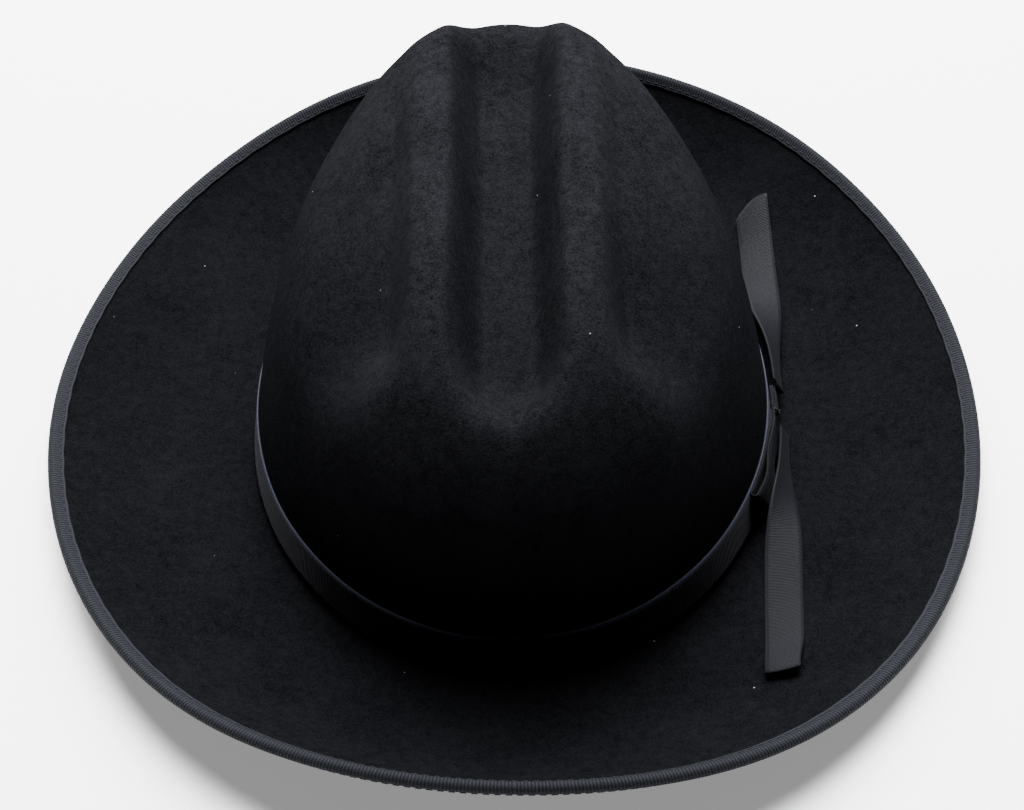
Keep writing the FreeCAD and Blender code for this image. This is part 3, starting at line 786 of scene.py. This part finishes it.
frontTail = {
    "sign": -1,                   # towards the front
    "start": 9.0 * mm,            # the tail's root, from the middle of the hat
    "lead": 4.0 * mm,             # run in which it grows out of the neck
    "height": 5.6 * mm,
    "length": 100.0 * mm,
    "cut": -1.0 * mm,             # slant of its end
    "share": 0.55,                # share of its width that is open at the root
    "rolls": (60.0, 0.0),         # degrees its section leans, at the root and once it lies flat
    "line": (89.0 * mm, 81.2 * mm),
    "unroll": 56.0 * mm,
    "stand": bandFace + 1.6 * mm,
    "endLift": 2.2 * mm,
    "ripple": 0.35 * mm,
    "endTaper": 0.2,
    "endBulge": 0.5 * mm,
}
rearTail = {
    "sign": 1,
    "start": 7.5 * mm,
    "lead": 1.4 * mm,
    "height": 11.0 * mm,
    "length": 95.0 * mm,
    "cut": 8.0 * mm,
    "share": 0.7,
    "rolls": (65.0, 0.0),
    "line": (88.4 * mm, 87.4 * mm),
    "unroll": 64.0 * mm,
    "stand": bandFace + 0.35 * mm,
    "endLift": 1.0 * mm,
    "ripple": 0.3 * mm,
    "endTaper": 0.0,
    "endBulge": 2.5 * mm,
}


def mix(start, end, share):
    # start where share is 0, end where it is 1
    return start + (end - start) * share


def tailPiece(name, look, cadNode):
    # ribbon from the neck: it leans on the crown, unrolls by a quintic step and lies along the
    # brim; the brim's slope turns its section, small sines ripple it and its end lifts
    across, level = ribbonSection(9)
    length = look["length"]
    run = np.concatenate([np.linspace(-look["lead"], 0, 7)[:-1], np.linspace(0, length, 70)])[:, None]
    ended = smooth(length - 18 * mm, 18 * mm, run)
    shortened = 0.5 * look["cut"] * (1 - across) - look["endBulge"] * (1 - across ** 2)
    run = run - np.clip(run / length, 0, 1) * shortened
    settle, lead = smooth(0.0, look["unroll"], run), smooth(-look["lead"], look["lead"], run)
    y = look["sign"] * (look["start"] + run)
    half = 0.5 * mix(bow["neckWidth"], bow["tailWidth"] * mix(look["share"], 1.0, settle), lead)
    roll = mix(math.radians(86.0), np.radians(mix(*look["rolls"], settle)), lead)
    wall = felt["halfWidth"] * np.sqrt(np.maximum(0.0, 1 - (y / felt["halfLength"]) ** 2))
    straight = mix(*look["line"], np.clip(run / length, 0, 1))
    x = np.maximum(straight, wall + look["stand"] + half * np.cos(roll))
    x = mix(wall + bandFace + 0.5 * bow["neckThick"], x, lead)
    lean = np.arctan((brimHeight(x + 3 * mm, y) - brimHeight(x - 3 * mm, y)) / (6 * mm)) * settle - roll
    lying = brimHeight(x + half * np.cos(lean), y) - half * np.sin(lean) + 0.35 * mm
    z = mix(mix(bow["knotHeight"], look["height"], lead), lying, settle)
    curl = look["ripple"] * (1 + np.sin(run / (6.5 * mm) + 0.6 * across)) * settle
    rise = bow["thick"] * (level + 0.5) + curl + look["endLift"] * ended * (1 + 0.25 * across)
    width = half * across * (1 - look["endTaper"] * ended * (across > 0) * np.abs(across))
    sine, cosine = np.sin(lean), np.cos(lean)
    grid = np.stack([x + width * cosine - rise * sine, y, z + width * sine + rise * cosine], -1)
    piece = skin(name, grid, None, caps=True, turnUv=True)
    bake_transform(piece)
    finish(piece, bowCloth, cadNode)


neckPiece()
knotThread()
loopPiece()
tailPiece("bow_front_streamer", frontTail, "bow_front_tail")
tailPiece("bow_rear_streamer", rearTail, "bow_rear_tail")
print("bow done")

# Inside: sweatband, reed tape, tab and tag

inside = {
    "gap": 0.3 * mm,
    "leather": 0.9 * mm,
    "bottom": 1.35 * mm,
    "height": 38.0 * mm,
    "reedLift": 0.3 * mm,
    "tabHalfWidth": 6.0 * mm,
    "tabThick": 0.7 * mm,
    "tagHalfWidth": 16.0 * mm,
    "tagLow": 12.0 * mm,          # above the leather's lower edge
    "tagHeight": 14.0 * mm,
    "tagThick": 0.3 * mm,
    "tagAngle": 150.0,
}
leatherNear = -felt["thick"] - inside["gap"]
leatherFar = leatherNear - inside["leather"]
leatherFace = leatherFar - ribbon["seat"]
leatherTop = inside["bottom"] + inside["height"]


def leatherPiece():
    # a band on the crown's inner wall: its upper edge is skived thin, and a shallow line is
    # pressed in below it; slow sines make it lie a little unevenly
    t = np.concatenate([np.linspace(0, 0.8, 20), np.linspace(0.82, 1.0, 19)])[:, None]
    z = inside["bottom"] + inside["height"] * t
    uneven = -0.15 * mm * (1 + np.sin(9 * around + 0.5 * np.sin(4 * around))) * t
    groove = 0.22 * mm * np.exp(-((leatherTop - 4.0 * mm - z) / (0.45 * mm)) ** 2)
    skive = 0.45 * smooth(0.9, 0.1, t) * inside["leather"]
    far = wallGrid(around, z, leatherFar + uneven + groove + skive)
    near = wallGrid(around, z[::-1], leatherNear + uneven[::-1])
    grid = np.concatenate([far, near])
    finish(skin("leather_sweatband", grid, "hat", wrapRows=True), leatherHide, "sweatband")


def tapePiece():
    # the cloth tape that wraps the reed under the leather: a rounded square section
    turn = np.linspace(0, 2 * math.pi, 16, endpoint=False)[:, None]
    across = 0.5 * inside["leather"] * np.sign(np.cos(turn)) * np.abs(np.cos(turn)) ** 0.6
    up = 0.5 * mm * np.sign(np.sin(turn)) * np.abs(np.sin(turn)) ** 0.6
    x, y = outline(around, 0.5 * (leatherNear + leatherFar) + across)
    grid = np.stack(np.broadcast_arrays(x, y, inside["reedLift"] + 0.5 * mm + up), -1)
    finish(skin("reed_cloth_tape", grid, "hat", wrapRows=True), tapeCloth, "reed_tape")


def patch(name, middle, halfWidth, low, high, near, thick, corner, material, cadNode):
    # a flat patch on the inner wall: in each direction its reach is a smaller rectangle's plus the
    # corner size, so its sides swell at their middles; rows run out to its edge and round to the back
    turn = np.linspace(0, 2 * math.pi, 96, endpoint=False)[None, :]
    cosine, sine = np.cos(turn), np.sin(turn)
    half = 0.5 * (high - low)
    sides = (halfWidth - corner) / np.maximum(np.abs(cosine), 1e-6)
    box = np.minimum(sides, (half - corner) / np.maximum(np.abs(sine), 1e-6))
    size = np.array([0.004, 0.25, 0.5, 0.75, 0.93, 1.0, 1.0, 0.93, 0.5, 0.004])[:, None]
    level = np.array([1.0, 1.0, 1.0, 1.0, 0.96, 0.7, 0.0, 0.0, 0.0, 0.0])[:, None]
    across, up = size * (box + corner) * cosine, size * (box + corner) * sine
    angle = middle + across / speedRound(wallGrid, middle, low, near)
    grid = wallGrid(angle, 0.5 * (low + high) + up, near - thick * level)
    finish(skin(name, grid, "hat", poles=(0, -1)), material, cadNode)


leatherPiece()
tapePiece()
stitches("sweatband_stitches", wallGrid, evenly(stitch["bandCount"]), inside["bottom"] + 2.2 * mm,
         leatherFar - 0.1 * mm, stitch["bandLength"], "sweatband_thread")
patch("back_seam_tab", math.pi, inside["tabHalfWidth"], inside["bottom"] + 4 * mm, leatherTop - 1 * mm,
      leatherFace - 0.3 * mm, inside["tabThick"], 2.5 * mm, tabHide, "sweatband_seam_tab")
tagLow = inside["bottom"] + inside["tagLow"]
patch("blank_size_tag", math.radians(inside["tagAngle"]), inside["tagHalfWidth"], tagLow,
      tagLow + inside["tagHeight"], leatherFace - 0.3 * mm, inside["tagThick"], 0.8 * mm, tagCloth, "size_tag")
print("sweatband done")

# Lining

lining = {
    "thick": 0.5 * mm,
    "fullness": 1.6,
    "top": felt["height"] - crease["depth"] - 13.0 * mm,
    "bottom": leatherTop + 0.5 * mm,
    "seam": 0.36,
    "gathers": 64,
    "gatherDepth": 0.5 * mm,
    "piping": 1.2 * mm,
}


def liningGrid(angle, turn, inset):
    # a plain dome inside the crown's wall, a rounded box from its lower edge (turn 0) to its middle
    full = fullness(angle) + lining["fullness"]
    low = lining["bottom"] / lining["top"]
    foot = np.arctan2(low, (1 - low ** full) ** (1 / full))
    steep = foot + (0.5 * math.pi - foot) * turn
    sine, cosine = np.sin(steep), np.maximum(np.cos(steep), 0.0)
    size = (cosine ** full + sine ** full) ** (-1 / full)
    reach, z = size * cosine, lining["top"] * size * sine
    wall = wallGrid(angle, z, leatherNear - inset)
    return np.stack(np.broadcast_arrays(wall[..., 0] * reach, wall[..., 1] * reach, z - inset * (1 - reach)), -1)


def liningPieces():
    # the side hangs in soft upright gathers that fade towards the seam; the tip is smooth
    turn = np.linspace(0, lining["seam"] - 0.002, 26)[:, None]
    fade = (1 - turn / lining["seam"]) ** 0.7
    gather = lining["gatherDepth"] * (1 + np.sin(lining["gathers"] * around + 1.5 * np.sin(9 * around))) * fade
    outer, inner = liningGrid(around, turn, gather), liningGrid(around, turn[::-1], gather[::-1] + lining["thick"])
    side = skin("satin_lining_side", np.concatenate([outer, inner]), "hat", wrapRows=True)
    finish(side, satinCloth, "lining_side")
    top = np.linspace(0.995, lining["seam"] + 0.002, 40)[:, None]
    outer, inner = liningGrid(around, top, 0.0), liningGrid(around, top[::-1], lining["thick"])
    tip = skin("satin_lining_tip", np.concatenate([outer, inner]), "hat", poles=(0, -1))
    finish(tip, satinCloth, "lining_tip")


def pipingPiece():
    # a round cord along the seam: a circle carried round the dome
    ring = np.linspace(0, 2 * math.pi, 12, endpoint=False)[:, None]
    radius = 0.5 * lining["piping"]
    turn = lining["seam"] + radius * np.cos(ring) / lining["top"]
    grid = liningGrid(around, turn, lining["thick"] + 0.3 * mm + radius + radius * np.sin(ring))
    finish(skin("lining_seam_piping", grid, "hat", wrapRows=True), pipingCord, "lining_piping")


liningPieces()
pipingPiece()
paint(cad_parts["tip_shield"], shieldMaterial())
paint(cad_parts["sweatband_reed"], reedPlastic)
print("lining done")

# Camera, floor and light

camera = {
    "elevation": 47.05,           # degrees
    "yaw": 1.0,
    "roll": 1.8,
    "distance": 0.75,
    "focal": 2235.0,              # in units of the frame's width below, like the centre
    "centreX": 513.4,
    "centreY": 429.6,
    "width": 1024,
    "height": 810,
    "sensor": 36.0,               # millimetres
}
studio = {
    "floorHalf": 6.0,
    "floorZ": -0.4 * mm,
    "floorColour": (0.88, 0.88, 0.88, 1.0),
    "floorGlow": 0.3,
    "skyColour": (0.95, 0.97, 1.0, 1.0),
    "sky": 0.03,
    "power": 214.0,
}


def makeCamera():
    # a lens aimed at the origin from a direction, rolled, its picture moved by the lens's shift
    lens = bpy.data.cameras.new("camera")
    eye = bpy.data.objects.new("camera", lens)
    bpy.context.scene.collection.objects.link(eye)
    lens.sensor_width = camera["sensor"]
    lens.lens = camera["focal"] * camera["sensor"] / camera["width"]
    lens.shift_x = (0.5 * camera["width"] - camera["centreX"]) / camera["width"]
    lens.shift_y = (camera["centreY"] - 0.5 * camera["height"]) / camera["width"]
    lens.clip_end = 50.0
    up, turn = math.radians(camera["elevation"]), math.radians(camera["yaw"])
    back = Vector((math.sin(turn) * math.cos(up), -math.cos(turn) * math.cos(up), math.sin(up)))
    eye.location = back * camera["distance"]
    eye.rotation_mode = "QUATERNION"
    roll = Quaternion((0, 0, 1), -math.radians(camera["roll"]))
    eye.rotation_quaternion = (-back).to_track_quat("-Z", "Y") @ roll
    bpy.context.scene.camera = eye


def softLight(name, place, size, aim):
    # a rectangle of light turned towards a point
    lamp = bpy.data.lights.new(name, "AREA")
    lamp.energy = studio["power"]
    lamp.shape = "RECTANGLE"
    lamp.size, lamp.size_y = size
    holder = bpy.data.objects.new(name, lamp)
    bpy.context.scene.collection.objects.link(holder)
    holder.location = place
    holder.rotation_mode = "QUATERNION"
    holder.rotation_quaternion = (Vector(aim) - Vector(place)).to_track_quat("-Z", "Y")


def makeFloor():
    # a pale square just under the hat, glowing faintly like a light table
    mesh = bpy.data.meshes.new("floor")
    half = studio["floorHalf"]
    corners = [(-half, -half, 0), (half, -half, 0), (half, half, 0), (-half, half, 0)]
    mesh.from_pydata(corners, [], [(0, 1, 2, 3)])
    floor = bpy.data.objects.new("floor", mesh)
    bpy.context.scene.collection.objects.link(floor)
    floor.location.z = studio["floorZ"]
    material, _, shader = principled("pale floor", 0.9)
    shader.inputs["Base Color"].default_value = studio["floorColour"]
    shader.inputs["Emission Color"].default_value = (1.0, 1.0, 1.0, 1.0)
    shader.inputs["Emission Strength"].default_value = studio["floorGlow"]
    paint(floor, material)


def makeWorld():
    # a weak, even sky
    world = bpy.data.worlds.new("studio")
    world.use_nodes = True
    sky = world.node_tree.nodes["Background"]
    sky.inputs["Color"].default_value = studio["skyColour"]
    sky.inputs["Strength"].default_value = studio["sky"]
    bpy.context.scene.world = world


makeCamera()
makeFloor()
makeWorld()
softLight("window behind", (0.0, 1.5, 1.35), (2.4, 1.2), (0, 0, 0.03))
softLight("soft top", (0.0, 0.7, 1.85), (1.1, 1.1), (0, 0, 0))
print("camera, floor and light made")
